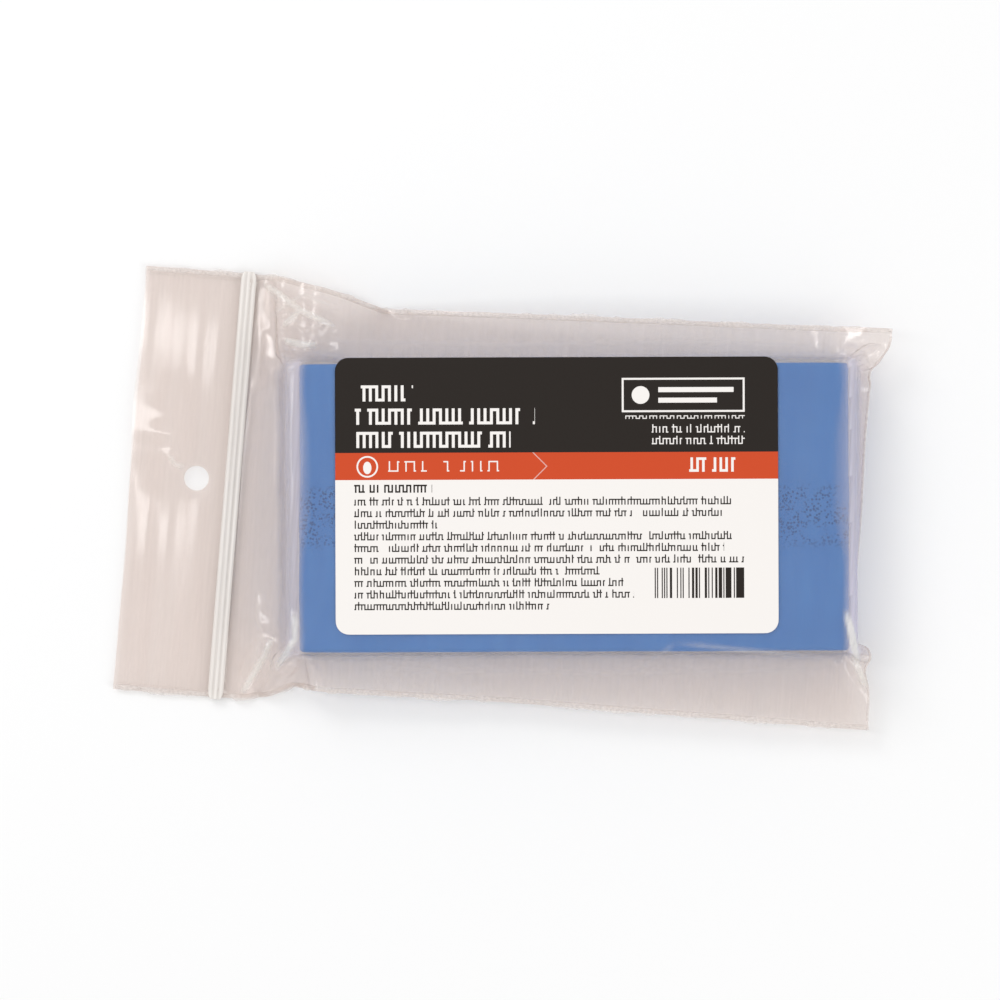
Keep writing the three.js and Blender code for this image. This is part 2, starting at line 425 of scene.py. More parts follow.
# Creases pressed into the front film: points along the line, height, half width and how bright
# the painted highlight along it is.
CREASES = (
    (((-47.5, 37.3), (-40.1, 32.7), (-33.3, 30.1)), 0.8, 1.5, 0.6),
    (((-40.1, 32.7), (-43.0, 29.6)), 0.6, 1.2, 0.45),
    (((-42.6, 27.0), (-39.5, 26.5), (-36.5, 26.6)), 0.8, 0.9, 0.9),
    (((-45.2, -37.6), (-41.6, -30.4), (-40.4, -26.8)), 1.0, 1.4, 0.85),
    (((-36.6, -21.6), (-36.2, -26.8), (-39.4, -32.8)), 0.3, 0.7, 0.6),
    (((-44.1, -18.7), (-42.6, -26.6), (-43.5, -34.7)), 0.35, 0.9, 0.15),
    (((62.6, -13.6), (63.9, -17.5), (65.8, -23.6), (68.0, -27.6)), 0.4, 0.7, 1.0),
    (((32.4, -21.9), (25.9, -27.9)), 0.25, 0.6, 0.12),
    (((32.4, -21.9), (59.0, -22.6)), 0.2, 0.6, 0.2),
    (((-42.6, 27.0), (-3.5, 29.4), (32.7, 32.8), (56.4, 33.9)), 0.25, 0.7, 0.1),
    (((-26.9, -31.5), (19.4, -28.5), (62.9, -24.2)), 0.25, 0.9, 0.08),
    (((-61.8, 4.6), (-60.6, 2.9), (-58.9, 2.7)), 0.45, 0.8, 0.35),
    (((-34.5, 31.5), (-38.6, 29.0), (-46.5, 36.0)), 0.5, 1.6, 0.15),
    (((-45.8, 31.0), (-40.0, 35.6), (-33.0, 33.5)), 0.5, 1.5, 0.2),
    (((-43.5, -24.0), (-40.2, -31.5), (-41.5, -36.0)), 0.5, 1.5, 0.15),
)
HIGHLIGHT_HALF_WIDTH = 0.42  # half width of a crease's painted highlight
MOUTH_SWELL = ((-62.0, 7.5), (3.6, 6.5), 1.35)  # middle, reach and height
HOLE_RIM = (0.2, 0.35)  # height and width of the hang hole's raised rim
VEIL_REACH = 4.0  # how far the milky film beyond the bar's ends reaches
VEIL_ON_BAR = 1.8, 2.4  # how far it reaches over the bar, at the mouth's end and at the fold's
FOLD_VEIL = 1.7  # how much milkier it is at the folded end


def off_crease(x, y, points):
    """Distance from a crease, and how strong it is there: it dies away at both ends."""
    nearest = np.full(x.shape, np.inf)
    along = np.zeros(x.shape)
    total = sum(math.dist(a, b) for a, b in zip(points, points[1:]))
    done = 0.0
    for a, b in zip(points, points[1:]):
        length = math.dist(a, b)
        dx, dy = (b[0] - a[0]) / length, (b[1] - a[1]) / length
        t = np.clip((x - a[0]) * dx + (y - a[1]) * dy, 0, length)
        d = np.hypot(x - a[0] - t * dx, y - a[1] - t * dy)
        closer = d < nearest
        nearest = np.where(closer, d, nearest)
        along = np.where(closer, (done + t) / total, along)
        done += length
    return nearest, np.clip(6.4 * along * (1 - along) + 0.1, 0, 1)


def add_creases(P):
    x, y, z = P
    for points, height, width, _ in CREASES:
        nearest, strength = off_crease(x, y, points)
        z += height * np.exp(-nearest / width) * strength


def crease_highlights(x, y):
    """The painted highlight along the creases, at each point of the front film."""
    white = np.zeros(x.shape)
    for points, _, _, brightest in CREASES:
        nearest, strength = off_crease(x, y, points)
        white = np.maximum(white, brightest * strength * np.exp(-((nearest / HIGHLIGHT_HALF_WIDTH) ** 2)))
    return white


def whole_sheet(pocket, zip_z, rest_z, seed):
    """A film from the mouth to the fold: the settled pocket with its lip in front."""
    nv = 2 * round(BAG_WIDTH / FINE / 2) + 1
    pocket = resample(pocket, round(POCKET / FINE) + 1, nv).astype(float)
    rows = round(LIP / FINE)
    across = np.linspace(-BAG_WIDTH / 2, BAG_WIDTH / 2, nv)
    u, v = grid(np.linspace(-LIP, 0, rows, endpoint=False), across)
    out = -u / LIP
    x = ZIP_X + u + MOUTH_WAVER * out * lattice_noise(v, 0 * v, 14, seed)
    lift = rest_z * (1 + LIP_SWELL * lattice_noise(u, v, 13, seed + 1))
    ease = np.clip((-u - ZIP_HALF) / (LIP - ZIP_HALF), 0, 1)
    ease = ease * ease * (3 - 2 * ease)
    z = zip_z * (1 - ease) + ease * lift
    edge = (2 * np.abs(v) / BAG_WIDTH) ** 10
    z = z * (1 - edge) + edge * (ZIP_FRONT_Z + ZIP_REAR_Z) / 2
    return np.concatenate([np.stack([x, v, z]), pocket], 1)


def add_streaks(P, depth):
    """Fine draw lines across the bag, and small gathers along it beside the bar."""
    x, y, z = P
    fade = np.clip((-34 - x) / 8, 0.25, 1)
    lines = lattice_noise(x, y * 0.04, 1.3, 21) + 0.6 * lattice_noise(x, y * 0.05, 2.9, 22)
    z += depth * fade * lines
    beside = np.clip((np.abs(y) - 27) / 3, 0, 1) * np.clip((x + 45) / 6, 0, 1)
    z += 3 * depth * beside * lattice_noise(x * 0.1, y, 1.5, 23)


def add_swell(P, middle, reach, height):
    """A low swelling of the film, with small waves along it."""
    x, y, z = P
    u, v = (x - middle[0]) / reach[0], (y - middle[1]) / reach[1]
    z += height * np.exp(-u * u - v * v) * (1 + 0.1 * np.sin(2 * math.pi * (y - middle[1]) / 4.6))


def raise_hole_rim(P, height, width):
    """The punch turned the hang hole's edge up."""
    x, y, z = P
    beyond = np.abs(np.hypot(x - HANG_HOLE[0], y - HANG_HOLE[1]) - HANG_HOLE[2])
    z += height * np.exp(-beyond / width)


def grid_normals(P):
    n = np.cross(np.gradient(P, axis=1), np.gradient(P, axis=2), axis=0)
    return n / np.maximum(np.linalg.norm(n, axis=0), 1e-9)


front_pocket, rear_pocket = drape_pocket()
front_sheet = whole_sheet(front_pocket, ZIP_FRONT_Z, 0.95, 31)
rear_sheet = whole_sheet(rear_pocket, ZIP_REAR_Z, 0.12, 41)
add_creases(front_sheet)
add_streaks(front_sheet, DRAW_LINES)
add_swell(front_sheet, *MOUTH_SWELL)
raise_hole_rim(front_sheet, *HOLE_RIM)
join_sheets(front_sheet, rear_sheet)


def cut_hole(P, used):
    """Drops the squares inside the hang hole and rounds its rim. Returns squares still used."""
    x, y = P[0], P[1]
    cx, cy, radius = HANG_HOLE
    middle_x = (x[:-1, :-1] + x[1:, 1:]) / 2
    middle_y = (y[:-1, :-1] + y[1:, 1:]) / 2
    inside = np.hypot(middle_x - cx, middle_y - cy) < radius
    touched = np.zeros(x.shape, bool)
    kept = np.zeros(x.shape, bool)
    for i in (0, 1):
        for j in (0, 1):
            span = (slice(i, i + inside.shape[0]), slice(j, j + inside.shape[1]))
            touched[span] |= inside
            kept[span] |= ~inside
    rim = touched & kept
    d = np.maximum(np.hypot(x - cx, y - cy), 1e-6)
    x[rim] = (cx + (x - cx) * radius / d)[rim]
    y[rim] = (cy + (y - cy) * radius / d)[rim]
    return used & ~inside


def film_piece(name, P, normals, columns, material):
    """A closed thin film over some columns of a sheet, with the hang hole cut out."""
    count = P.shape[2]
    used = np.ones((P.shape[1] - 1, count - 1), bool)
    used = cut_hole(P, used)
    used[:, : columns.start] = False
    used[:, columns.stop - 1 :] = False
    quads = grid_quads(P.shape[1], count)[used.ravel()]
    keep, index = np.unique(quads, return_inverse=True)
    quads = index.reshape(quads.shape)
    points = P.reshape(3, -1).T[keep]
    n = normals.reshape(3, -1).T[keep]
    faces = closed_skin(quads, len(keep))
    vertices = np.concatenate([points + n * FILM / 2, points - n * FILM / 2])
    piece = new_piece(name, vertices, faces, material)
    piece.data.polygons.foreach_set("use_smooth", np.ones(len(faces), bool))
    piece.data.normals_split_custom_set_from_vertices(np.concatenate([n, -n]).tolist())
    return piece


# ---- Materials ------------------------------------------------------------------------------


class Nodes:
    """A short way to write a material's node tree."""

    def __init__(self, name):
        self.material = bpy.data.materials.new(name)
        self.material.use_nodes = True
        self.tree = self.material.node_tree
        self.shader = self.tree.nodes["Principled BSDF"]
        self.output = self.tree.nodes["Material Output"]

    def feed(self, socket, value):
        if isinstance(value, bpy.types.NodeSocket):
            self.tree.links.new(value, socket)
        else:
            socket.default_value = value

    def fill(self, node, inputs):
        for name, value in inputs.items():
            self.feed(node.inputs[name.replace("_", " ")], value)
        return node

    def new(self, kind, **inputs):
        return self.fill(self.tree.nodes.new("ShaderNode" + kind), inputs)

    def surface(self, **inputs):
        self.fill(self.shader, inputs)

    def layer(self, factor, below, above):
        node = self.new("MixShader", Fac=factor)
        self.feed(node.inputs[1], below.outputs[0])
        self.feed(node.inputs[2], above.outputs[0])
        return node

    def math(self, operation, *values):
        node = self.tree.nodes.new("ShaderNodeMath")
        node.operation = operation
        for socket, value in zip(node.inputs, values):
            self.feed(socket, value)
        return node.outputs[0]

    def mix(self, factor, a, b):
        node = self.tree.nodes.new("ShaderNodeMix")
        node.data_type = "RGBA"
        self.feed(node.inputs["Factor"], factor)
        self.feed(node.inputs["A"], a)
        self.feed(node.inputs["B"], b)
        return node.outputs["Result"]

    def ramp(self, value, low, high, to_low=0.0, to_high=1.0):
        ends = dict(From_Min=low, From_Max=high, To_Min=to_low, To_Max=to_high)
        return self.new("MapRange", Value=value, **ends).outputs["Result"]

    def place(self, scale=(1, 1, 1), move=(0, 0, 0), turn=0.0):
        """Object coordinates in millimetres, moved, turned about Z and then scaled."""
        where = self.tree.nodes.new("ShaderNodeTexCoord").outputs["Object"]
        node = self.tree.nodes.new("ShaderNodeMapping")
        node.vector_type = "TEXTURE"
        self.feed(node.inputs["Vector"], where)
        node.inputs["Location"].default_value = [m * MM for m in move]
        node.inputs["Rotation"].default_value = (0, 0, turn)
        node.inputs["Scale"].default_value = [MM / s for s in scale]
        return node.outputs["Vector"]

    def noise(self, where, scale, detail=2.0, roughness=0.5, distortion=0.0):
        shape = dict(Scale=scale, Detail=detail, Roughness=roughness, Distortion=distortion)
        return self.new("TexNoise", Vector=where, **shape).outputs["Fac"]

    def attribute(self, name):
        node = self.tree.nodes.new("ShaderNodeAttribute")
        node.attribute_name = name
        return node.outputs["Fac"]

    def bump(self, height, distance, strength=1.0):
        node = self.new("Bump", Height=height, Distance=distance * MM, Strength=strength)
        return node.outputs["Normal"]


def film_material(name, tint, haze, roughness):
    """Clear polythene: a faint tint, a gloss, and a thin warm haze that the clay's touch clears,
    with painted highlights along its creases and a painted bluish bounce from the clay near the
    bar's ends.
    """
    g = Nodes(name)
    lines = g.noise(g.place((0.35, 0.012, 0.012)), 1.0, 4.0, 0.6)
    cloud = g.noise(g.place((0.07, 0.05, 0.05)), 1.0, 2.0)
    opacity = g.ramp(lines, 0.3, 0.7, 0.5 * haze, 1.7 * haze)
    opacity = g.math("MULTIPLY", opacity, g.ramp(cloud, 0.3, 0.7, 0.85, 1.2))
    opacity = g.math("MULTIPLY", opacity, g.ramp(g.attribute("touch"), 0.0, 1.0, 1.0, 0.15))
    facing = g.new("LayerWeight", Blend=0.5).outputs["Facing"]
    opacity = g.math("MULTIPLY_ADD", g.math("POWER", facing, 1.5), 0.13, opacity)
    veil = g.math("MULTIPLY", g.attribute("veil"), g.ramp(lines, 0.3, 0.7, 0.2, 0.4))
    # Painted highlight: along the creases the film turns more opaque and near white.
    white = g.attribute("crease")
    opacity = g.math("ADD", g.math("ADD", opacity, veil), white)
    # Painted bounce light: the milky film near the bar's ends is tinted bluish, as if lit by the
    # blue clay.
    clay_bounce_tint = g.math("MULTIPLY", veil, 3.0)
    milk = g.mix(clay_bounce_tint, (0.95, 0.88, 0.85, 1), (0.95, 0.91, 0.98, 1))
    milk = g.mix(g.math("MULTIPLY", white, 4.0), milk, (1.0, 0.98, 0.95, 1))
    grain = g.noise(g.place((0.9, 0.03, 0.2)), 1.0, 4.0, 0.6)
    bumped = g.bump(grain, 0.02, 0.35)
    g.surface(Base_Color=milk, Roughness=0.6, Specular_IOR_Level=0.2, Normal=bumped)
    gloss = g.new("BsdfGlossy", Roughness=roughness, Normal=bumped)
    clear = g.new("BsdfTransparent", Color=tint)
    through = g.new("BsdfTranslucent", Color=milk)
    hazy = g.layer(opacity, clear, g.layer(0.5, g.shader, through))
    mirror = g.math("MULTIPLY_ADD", g.math("POWER", facing, 5.0), 0.6, 0.04)
    g.feed(g.output.inputs["Surface"], g.layer(mirror, hazy, gloss).outputs[0])
    return g.material


def frosted_material(name, colour, opacity, roughness, pitch):
    """Thicker or melted polythene: milky, with sparkling lumps."""
    g = Nodes(name)
    lumps = g.noise(g.place(), 1.0 / pitch, 4.0, 0.7)
    g.surface(Base_Color=colour, Normal=g.bump(lumps, 0.15, 0.8))
    g.surface(Roughness=g.ramp(lumps, 0.3, 0.7, roughness, roughness + 0.25))
    g.surface(Alpha=g.ramp(lumps, 0.3, 0.7, opacity - 0.15, opacity + 0.15))
    return g.material


def zip_material():
    """The zip's milky strips, whitest along their ridges."""
    g = Nodes("zip_plastic")
    where = g.new("SeparateXYZ", Vector=g.place(move=(ZIP_X, 0, 0)))
    wave = g.math("COSINE", g.math("MULTIPLY", where.outputs[0], 2 * math.pi / RIDGE_PITCH))
    drawn = g.noise(g.place((2.0, 0.03, 1.0)), 1.0, 3.0)
    milky = g.ramp(wave, -0.6, 0.9, 0.6, 0.84)
    opacity = g.math("ADD", milky, g.ramp(drawn, 0.3, 0.7, -0.08, 0.08))
    g.surface(Base_Color=(0.95, 0.91, 0.87, 1), Roughness=0.3, Alpha=opacity)
    return g.material


def clay_material():
    """Dense blue clay with a waxy skin: faint wipe marks, and pits where it was gripped, darkened
    with painted shade.
    """
    g = Nodes("blue_clay")
    turned = g.place(turn=YAW)
    smears = g.noise(g.place((0.35, 0.05, 0.2), turn=YAW), 1.0, 4.0, 0.6, 0.6)
    cloud = g.noise(g.place((0.07, 0.07, 0.07)), 1.0, 3.0, 0.55)
    fine = g.noise(turned, 2.4, 5.0, 0.7)
    colour = g.mix(g.ramp(smears, 0.35, 0.7), (0.062, 0.210, 0.552, 1), (0.076, 0.240, 0.585, 1))
    colour = g.mix(g.ramp(cloud, 0.35, 0.7, 0.0, 0.5), colour, (0.053, 0.185, 0.50, 1))
    pits = g.new("TexVoronoi", Vector=turned, Scale=1.9).outputs["Distance"]
    pits = g.math("MULTIPLY_ADD", g.noise(turned, 3.0, 2.0), 0.5, pits)
    where = g.new("SeparateXYZ", Vector=g.place(move=BAR_MIDDLE, turn=YAW))
    along = g.math("ABSOLUTE", where.outputs[0])
    across = g.math("ABSOLUTE", g.math("ADD", where.outputs[1], 1.5))
    ragged = g.noise(turned, 0.35, 3.0)
    zone = g.math("MULTIPLY", g.ramp(along, 35.0, 38.0), g.ramp(across, 6.5, 4.0))
    zone = g.math("MULTIPLY", zone, g.ramp(ragged, 0.38, 0.5))
    pit = g.math("MULTIPLY", g.ramp(pits, 0.74, 0.56), zone)
    # Painted shade: the pits are coloured a dark blue, as if shaded inside.
    colour = g.mix(g.math("MULTIPLY", pit, 0.85), colour, (0.03, 0.09, 0.26, 1))
    g.surface(Base_Color=colour, Roughness=g.ramp(fine, 0.3, 0.7, 0.42, 0.6))
    g.surface(Subsurface_Weight=0.08, Subsurface_Radius=(0.0006, 0.0009, 0.0014))
    height = g.math("MULTIPLY_ADD", smears, 0.6, g.math("MULTIPLY", fine, 0.25))
    height = g.math("SUBTRACT", height, pit)
    g.surface(Normal=g.bump(height, 0.12, 0.5))
    return g.material


# ---- Label print, in millimetres from the label's middle ------------------------------------

INK = (0.015, 0.010, 0.007, 1)
RED = (0.625, 0.068, 0.015, 1)
PAPER = (0.91, 0.875, 0.845, 1)

BAND = (2.9, 7.8)  # foot and head of the red band, with black above it and white below

# A block of type: its lowest line's foot, its line pitch, its height, its left side, its lines'
# ends from the lowest upwards, the pitch and thickness of its strokes, and its short strokes'
# height as a share of the tall ones'.
TITLE = dict(
    foot=8.7, line=4.2, tall=2.9, left=-35.9, ends=(-8.3, -3.9, -25.9), pitch=1.15, stroke=0.52
)
CONTACT = dict(
    foot=9.2, line=2.1, tall=1.5, left=17.4, ends=(34.0, 34.0), pitch=0.62, stroke=0.2, low=0.75
)
TAGLINE = dict(foot=13.8, line=2.0, tall=0.6, left=11.9, ends=(34.0,), pitch=0.62, stroke=0.16)
PREPARE = dict(foot=4.4, line=3.0, tall=1.9, left=-30.2, ends=(-9.8,), pitch=1.5, stroke=0.24)
WEIGHT = dict(foot=4.2, line=4.0, tall=2.6, left=24.4, ends=(32.5,), pitch=1.05, stroke=0.46)
HEADING = dict(foot=0.6, line=3.0, tall=1.45, left=-36.3, ends=(-22.5,), pitch=0.66, stroke=0.3)
BODY = dict(
    foot=-20.6,
    line=2.1,
    tall=1.5,
    left=-36.4,
    ends=(-1.4, 13.9, 12.0, 7.7, 33.8, 30.2, 31.6, -21.6, 29.8, 31.6),
    pitch=0.56,
    stroke=0.23,
    low=0.72,
)
TALL_STROKES = 0.72  # a stroke is tall where chance goes over this
FOOT_JOINS, HEAD_JOINS = 0.36, 0.54  # joined at the foot below the first, at the head over both
SPACES = 0.13  # share of the strokes left out
EMBLEM = (11.8, 34.0, 15.0, 21.2)  # left, right, bottom and top
SEAL = (-34.2, 5.3)  # middle of the round mark on the band
CHEVRON = (-1.9, -1.65)  # left and right of the thin line at its point
BARCODE = (17.5, 34.0, -18.6, -13.1)
BARCODE_CELL = 0.21


class Print(Nodes):
    """Flat ink shapes, each worked out from the label's own u and v."""

    def __init__(self, name):
        super().__init__(name)
        plan = self.tree.nodes.new("ShaderNodeUVMap")
        plan.uv_map = "plan"
        parts = self.new("SeparateXYZ", Vector=plan.outputs[0])
        self.u, self.v = parts.outputs[0], parts.outputs[1]

    def within(self, value, low, high):
        return self.math("COMPARE", value, (low + high) / 2, (high - low) / 2)

    def box(self, left, right, bottom, top):
        return self.both(self.within(self.u, left, right), self.within(self.v, bottom, top))

    def disc(self, x, y, radius, tall=1.0):
        du = self.math("SUBTRACT", self.u, x)
        dv = self.math("MULTIPLY", self.math("SUBTRACT", self.v, y), 1 / tall)
        square = self.math("MULTIPLY_ADD", du, du, self.math("MULTIPLY", dv, dv))
        return self.math("LESS_THAN", square, radius * radius)

    def either(self, *shapes):
        total = shapes[0]
        for shape in shapes[1:]:
            total = self.math("MAXIMUM", total, shape)
        return total

    def both(self, a, b):
        return self.math("MULTIPLY", a, b)

    def without(self, a, b):
        return self.both(a, self.math("SUBTRACT", 1.0, b))

    def chance(self, x, y, seed):
        """A random value from 0 to 1 for each whole x and y."""
        at = self.new("CombineXYZ", X=x, Y=y, Z=seed)
        return self.new("TexWhiteNoise", Vector=at.outputs[0]).outputs["Value"]

    def type(self, foot, line, tall, left, ends, pitch, stroke, low=1.0, seed=0.0):
        """Unreadable type: upright strokes in rows, joined at random at the head or the foot."""
        above = self.math("SUBTRACT", self.v, foot)
        row = self.math("FLOOR", self.math("MULTIPLY", above, 1 / line))
        up = self.math("MULTIPLY_ADD", row, -line, above)
        place = self.math("MULTIPLY", self.math("SUBTRACT", self.u, left), 1 / pitch)
        nearest = self.math("ROUND", place)
        off = self.math("ABSOLUTE", self.math("SUBTRACT", place, nearest))
        upright = self.math("LESS_THAN", off, stroke / pitch / 2)
        rises = self.math("GREATER_THAN", self.chance(nearest, row, seed + 1), TALL_STROKES)
        head = self.ramp(rises, 0.0, 1.0, low * tall, tall)
        join = self.chance(self.math("FLOOR", place), row, seed + 2)
        at_foot = self.math("LESS_THAN", up, stroke)
        at_foot = self.both(self.math("LESS_THAN", join, FOOT_JOINS), at_foot)
        at_head = self.within(up, low * tall - stroke, low * tall)
        at_head = self.both(self.math("GREATER_THAN", join, HEAD_JOINS), at_head)
        upright = self.both(upright, self.math("LESS_THAN", up, head))
        space = self.math("LESS_THAN", self.chance(nearest, row, seed + 3), SPACES)
        feet = [foot + i * line for i in range(len(ends))]
        rows = [self.box(left - stroke, end, at, at + tall) for at, end in zip(feet, ends)]
        ink = self.both(self.either(upright, at_foot, at_head), self.either(*rows))
        return self.without(ink, space)


def label_material():
    g = Print("label_print")
    black = g.math("GREATER_THAN", g.v, BAND[1])
    red = g.within(g.v, *BAND)
    colour = g.mix(black, PAPER, INK)
    colour = g.mix(red, colour, RED)

    left, right, bottom, top = EMBLEM
    rim = 0.35
    inside = g.box(left + rim, right - rim, bottom + rim, top - rim)
    emblem = g.either(
        g.without(g.box(*EMBLEM), inside),
        g.disc(left + 3.4, (bottom + top) / 2, 1.6),
        g.box(left + 6.6, right - 2.0, 18.6, 19.5),
        g.box(left + 6.6, right - 5.0, 16.7, 17.6),
    )
    seal = g.without(g.disc(*SEAL, 1.95), g.disc(*SEAL, 1.65))
    seal = g.either(seal, g.disc(SEAL[0], SEAL[1] - 0.2, 0.75, 1.5))
    from_left = g.math("SUBTRACT", g.u, PREPARE["left"] - 0.3)
    every_other = g.math("FRACT", g.math("MULTIPLY", from_left, 1 / 3))
    spaced = g.both(g.type(**PREPARE, seed=30.0), g.math("LESS_THAN", every_other, 0.7))
    bend = g.math("ADD", g.math("ABSOLUTE", g.math("SUBTRACT", g.v, SEAL[1])), g.u)
    chevron = g.both(g.within(bend, *CHEVRON), g.within(g.v, *BAND))
    contact, tagline = g.type(**CONTACT, seed=10.0), g.type(**TAGLINE, seed=20.0)
    type_on_black = g.either(g.type(**TITLE), contact, tagline)
    white = g.either(type_on_black, emblem, seal, spaced, g.type(**WEIGHT, seed=40.0))
    colour = g.mix(white, colour, PAPER)
    colour = g.mix(g.math("MULTIPLY", chevron, 0.45), colour, PAPER)

    bar_code = g.math("FLOOR", g.math("MULTIPLY", g.u, 1 / BARCODE_CELL))
    barcode = g.both(g.box(*BARCODE), g.math("GREATER_THAN", g.chance(bar_code, 3.0, 71.0), 0.45))
    type_on_white = g.either(g.type(**HEADING, seed=50.0), g.type(**BODY, seed=60.0))
    colour = g.mix(g.either(type_on_white, barcode), colour, INK)

    paper = g.noise(g.place(), 3.0, 4.0, 0.7)
    g.surface(Base_Color=colour, Roughness=g.ramp(paper, 0.3, 0.7, 0.45, 0.6))
    g.surface(Specular_IOR_Level=0.25, Normal=g.bump(paper, 0.01, 0.35))
    return g.material


# ---- Pieces ---------------------------------------------------------------------------------


def bend_with_mouth(piece):
    """Bakes the piece's place into its mesh; it stays unattached to any body."""
    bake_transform(piece)


def mark(piece, name, values):
    layer = piece.data.attributes.new(name, "FLOAT", "POINT")
    layer.data.foreach_set("value", values.astype(np.float32))


def mark_film(piece, creased):
    """Marks where the film touches the clay, where it leaves the bar's ends, and the painted
    highlight along its creases.
    """
    co = np.zeros(len(piece.data.vertices) * 3)
    piece.data.vertices.foreach_get("co", co)
    x, y, z = points = co.reshape(-1, 3).T / MM
    off_clay = box_distance(points, BAR_MIDDLE, BAR_HALF, EDGE_ROUND)
    mark(piece, "touch", np.clip((0.9 - off_clay) / 0.6, 0, 1))
    along, across = in_block(x, y, BAR_MIDDLE)
    beyond = np.abs(along) - BAR_HALF[0]
    uneven = 1 + 0.4 * lattice_noise(across, 0 * across, 11, 61)
    over_bar = -beyond / (np.where(along < 0, *VEIL_ON_BAR) * uneven)
    veil = 1 - np.where(beyond < 0, over_bar, beyond / VEIL_REACH)
    veil = np.clip(veil, 0, 1) * np.clip((BAR_HALF[1] + 1.5 - np.abs(across)) / 1.5, 0, 1)
    veil *= np.where((along > 0) & (beyond > 0), FOLD_VEIL, 1)
    mark(piece, "veil", veil * np.clip((z - 0.2) / 1.5, 0, 1))
    mark(piece, "crease", crease_highlights(x, y) if creased else 0 * x)


def make_films():
    clear = film_material("clear_film", (0.991, 0.976, 0.968, 1), 0.055, 0.11)
    middle = front_sheet.shape[2] // 2
    normals = grid_normals(front_sheet)
    halves = (
        ("film_front_lower", slice(0, middle + 1), -1),
        ("film_front_upper", slice(middle, front_sheet.shape[2]), 1),
    )
    for name, columns, side in halves:
        piece = film_piece(name, front_sheet.copy(), normals, columns, clear)
        mark_film(piece, creased=True)
        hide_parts("front_film", "front_lip")
        bend_with_mouth(piece)
    whole = slice(0, rear_sheet.shape[2])
    rear = film_piece("film_rear", rear_sheet.copy(), grid_normals(rear_sheet), whole, clear)
    mark_film(rear, creased=False)
    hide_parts("rear_film", "rear_lip")
    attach(rear, BACK)


def ring(radius_across, radius_up, sides=10):
    turn = np.linspace(0, 2 * math.pi, sides, endpoint=False)
    return np.stack([radius_across * np.cos(turn), radius_up * np.sin(turn)], 1)


def make_welds(material):
    """Melted side seams, with a ragged outer edge."""
    for name, column, side in (("weld_upper", -1, 1), ("weld_lower", 0, -1)):
        line = front_sheet[:, :, column].T
        along = np.concatenate([[0], np.cumsum(np.linalg.norm(np.diff(line, axis=0), axis=1))])
        stations = np.linspace(0.3, along[-1] - 0.3, int(along[-1] / 0.6))
        centres = np.stack([np.interp(stations, along, line[:, k]) for k in range(3)], 1)
        tangent = np.gradient(centres, axis=0)
        tangent /= np.linalg.norm(tangent, axis=1)[:, None]
        out = np.cross(UP, tangent) * side
        out /= np.linalg.norm(out, axis=1)[:, None]
        ragged = lattice_noise(stations, 0 * stations, 2.3, 51 + side)
        ragged += 0.6 * lattice_noise(stations, 0 * stations, 0.9, 53 + side)
        lumps = lattice_noise(stations, 0 * stations, 1.3, 57 + side)
        sections = np.tile(ring(0.55, 0.13), (len(centres), 1, 1))
        outer = sections[..., 0] > 0
        sections[..., 0] += np.where(outer, 0.32 * ragged[:, None] - 0.1, 0)
        sections[..., 1] *= 1 + 0.5 * lumps[:, None]
        piece = sweep(name, centres - out * 0.35, out, UP, sections, material)
        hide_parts("side_weld_upper" if side > 0 else "side_weld_lower")
        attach(piece, BACK)


def make_fold(material):
    """The doubled film at the closed end."""
    line = front_sheet[:, -1, 3:-3:2].T
    bead = ring(0.22, 0.16, 8)
    piece = sweep("fold_edge", line - [0.1, 0, 0], (1, 0, 0), UP, bead, material)
    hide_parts("bottom_fold")
    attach(piece, BACK)


ZIP_STATIONS = 40  # along half the zip's front strip, or all its rear one
ZIP_CRUSHED = 1.6  # length of its crushed ends


def strip_section(bottom, top, depth):
    """A flat strip with fine ridges along its top."""
    x = np.linspace(-ZIP_HALF + 0.1, ZIP_HALF - 0.1, 25)
    low = np.full(len(x), bottom)
    high = top + depth * (0.5 + 0.5 * np.cos(2 * math.pi * x / RIDGE_PITCH))
    return np.concatenate([np.stack([x, low], 1), np.stack([x, high], 1)[::-1]])


def make_zip(material):
    """Two interlocking strips across the bag, crushed into rounded nubs by the side welds."""

    def strip(name, from_y, to_y, section):
        y = np.linspace(from_y, to_y, ZIP_STATIONS)
        centres = np.stack([np.full(ZIP_STATIONS, ZIP_X), y, np.zeros(ZIP_STATIONS)], 1)
        sections = np.tile(section, (ZIP_STATIONS, 1, 1))
        near_end = np.clip((np.abs(y) - ZIP_END + ZIP_CRUSHED) / ZIP_CRUSHED, 0, 1)
        rounding = np.sqrt(1 - 0.55 * near_end**2)
        middle = (section[:, 1].min() + section[:, 1].max()) / 2
        sections[..., 0] *= rounding[:, None]
        sections[..., 1] = middle + (sections[..., 1] - middle) * (1 - 0.35 * near_end)[:, None]
        return sweep(name, centres, (1, 0, 0), UP, sections, material)

    groove = strip_section(0.85, 1.4, 0.05)
    halves = ("zip_front_upper", 0, ZIP_END, 1), ("zip_front_lower", -ZIP_END, 0, -1)
    for name, from_y, to_y, side in halves:
        piece = strip(name, from_y, to_y, groove)
        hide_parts("zip_groove")
        bend_with_mouth(piece)
    rear = strip("zip_rear", -ZIP_END, ZIP_END, strip_section(0.18, 0.36, 0.14))
    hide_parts("zip_rib")
    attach(rear, BACK)


